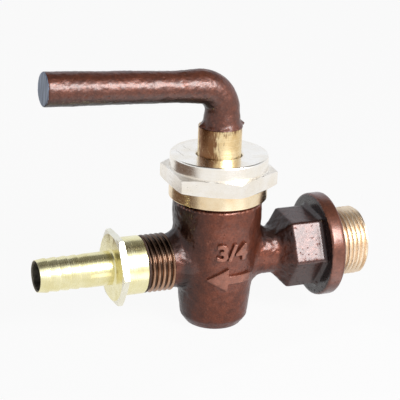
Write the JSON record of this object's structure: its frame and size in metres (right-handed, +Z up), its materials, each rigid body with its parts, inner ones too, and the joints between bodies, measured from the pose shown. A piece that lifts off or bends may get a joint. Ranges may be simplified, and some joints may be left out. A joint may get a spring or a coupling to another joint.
{
  "type": "plug cock with hose tail",
  "caption": "Cast bronze gland cock: tapered plug turned by an L-shaped handle, hexagon packing nut, threaded flanged inlet and a barbed brass hose tail.",
  "frame": {"origin": "centre of the inlet flange's sealing face, on the axis of the inlet thread", "axes": "+X out along the inlet thread, +Z up the plug's stem; the hose tail points along -X"},
  "size_m": [0.1308, 0.0446, 0.1044],
  "materials": {
    "cast_bronze": "sand cast, brown lacquer",
    "turned_brass": "turned, pale and bright",
    "tail_brass": "turned, polished yellow",
    "packing": "graphited yarn",
    "fibre": "dark fibre washer"
  },
  "bodies": {
    "valve": {"valve_body": "cast_bronze", "packing_washer": "turned_brass", "packing_ring_1": "packing", "packing_ring_2": "packing", "packing_ring_3": "packing", "packing_ring_4": "packing", "gland_follower": "turned_brass", "packing_nut": "turned_brass", "hose_adapter": "tail_brass", "adapter_washer": "fibre"},
    "plug": {"plug_and_handle": "cast_bronze"}
  },
  "joints": [
    {"name": "plug_turn", "type": "hinge", "parent": "valve", "child": "plug", "pos_m": [-0.04614, 0, 0], "axis": [0, 0, 1], "continuous": true}
  ]
}
